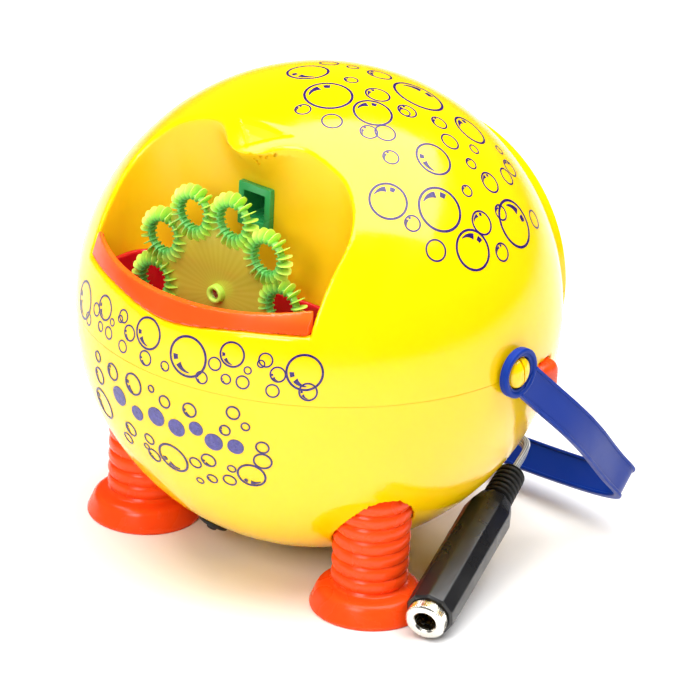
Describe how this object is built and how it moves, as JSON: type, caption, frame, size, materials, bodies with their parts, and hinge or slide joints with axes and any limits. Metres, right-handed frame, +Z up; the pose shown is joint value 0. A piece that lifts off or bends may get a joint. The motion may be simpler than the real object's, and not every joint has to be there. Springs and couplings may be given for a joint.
{
  "type": "bubble machine",
  "caption": "Ball-shaped battery bubble machine with a dipping wheel, tray, fan, ribbed feet, swinging handle and a switch lead with an inline socket.",
  "frame": {"origin": "on the floor under the middle of the machine's box, taken without the lead and its socket", "axes": "+Z up, the chamber and wheel face -Y, the rear cover faces +Y, the power button and the socket are on the +X side"},
  "size_m": [0.1648, 0.1547, 0.1525],
  "materials": {
    "shell_yellow": "glossy injection-moulded plastic",
    "foot_orange": "glossy injection-moulded plastic",
    "tray_orange": "glossy injection-moulded plastic",
    "wheel_lime": "soft translucent plastic",
    "nozzle_green": "satin injection-moulded plastic",
    "handle_blue": "satin injection-moulded plastic",
    "inner_white": "natural acetal",
    "inner_grey": "moulded plastic",
    "cell_jacket": "printed metal cell jacket, dense as a filled AA cell",
    "steel": "plated steel",
    "brass": "turned brass",
    "socket_black": "satin black plastic",
    "socket_nickel": "nickel plate",
    "black_rubber": "soft moulded rubber",
    "lead_grey": "flexible PVC twin lead"
  },
  "bodies": {
    "housing": {"upper_shell": "shell_yellow", "lower_shell": "shell_yellow", "rear_cover": "shell_yellow", "handle_pin_left": "shell_yellow", "handle_pin_right": "shell_yellow", "foot_left": "foot_orange", "foot_right": "foot_orange", "foot_rear": "foot_orange", "solution_tray": "tray_orange", "air_nozzle": "nozzle_green", "gear_plate_front": "inner_white", "gear_plate_rear": "inner_white", "fan_housing": "inner_grey", "battery_box": "inner_grey", "battery_1": "cell_jacket", "battery_2": "cell_jacket", "battery_3": "cell_jacket", "battery_4": "cell_jacket", "idler_axle_1": "steel", "idler_axle_2": "steel", "motor_can": "steel", "cover_screw_1": "steel", "cover_screw_2": "steel", "cover_screw_3": "steel", "cover_screw_4": "steel", "contact_front_left": "steel", "contact_front_right": "steel", "socket_sleeve": "brass", "socket_body": "socket_black", "switch_body": "socket_black", "socket_ring": "socket_nickel", "socket_strain_relief": "black_rubber", "drain_plug": "black_rubber", "lead_gland": "black_rubber", "switch_lead": "lead_grey"},
    "rotor": {"motor_shaft": "steel", "motor_pinion": "brass", "fan_impeller": "inner_white"},
    "idler_1": {"idler_gear_1": "inner_white"},
    "idler_2": {"idler_gear_2": "inner_white"},
    "wheel": {"bubble_wheel": "wheel_lime", "wheel_shaft": "steel", "wheel_gear": "inner_white"},
    "carry_handle": {"handle": "handle_blue"},
    "button": {"power_button": "foot_orange"},
    "door": {"battery_door": "shell_yellow", "contact_door_upper": "steel", "contact_door_lower": "steel"}
  },
  "joints": [
    {"name": "fan_spin", "type": "hinge", "parent": "housing", "child": "rotor", "pos_m": [0, -0.00155, 0.0962], "axis": [0, 1, 0], "continuous": true},
    {"name": "idler_1_spin", "type": "hinge", "parent": "housing", "child": "idler_1", "pos_m": [0.0031, -0.00155, 0.08265], "axis": [0, 1, 0], "continuous": true},
    {"name": "idler_2_spin", "type": "hinge", "parent": "housing", "child": "idler_2", "pos_m": [0.01419, -0.00155, 0.09104], "axis": [0, 1, 0], "continuous": true},
    {"name": "wheel_spin", "type": "hinge", "parent": "housing", "child": "wheel", "pos_m": [0, -0.00155, 0.0962], "axis": [0, 1, 0], "continuous": true},
    {"name": "handle_swing", "type": "hinge", "parent": "housing", "child": "carry_handle", "pos_m": [0, -0.00155, 0.0794], "axis": [1, 0, 0], "range_deg": [0, 264]},
    {"name": "button_push", "type": "slide", "parent": "housing", "child": "button", "axis": [-1, 0, 0], "range_m": [0, 0.0025], "stiffness_N_per_m": 150, "springref_m": -0.002},
    {"name": "battery_door_hinge", "type": "hinge", "parent": "housing", "child": "door", "pos_m": [0, 0.06205, 0.0748], "axis": [1, 0, 0], "range_deg": [0, 100]}
  ],
  "couplings": [
    {"joint": "idler_1_spin", "follows": "fan_spin", "ratio": -0.27778},
    {"joint": "idler_2_spin", "follows": "fan_spin", "ratio": 0.07716},
    {"joint": "wheel_spin", "follows": "fan_spin", "ratio": -0.01929}
  ]
}
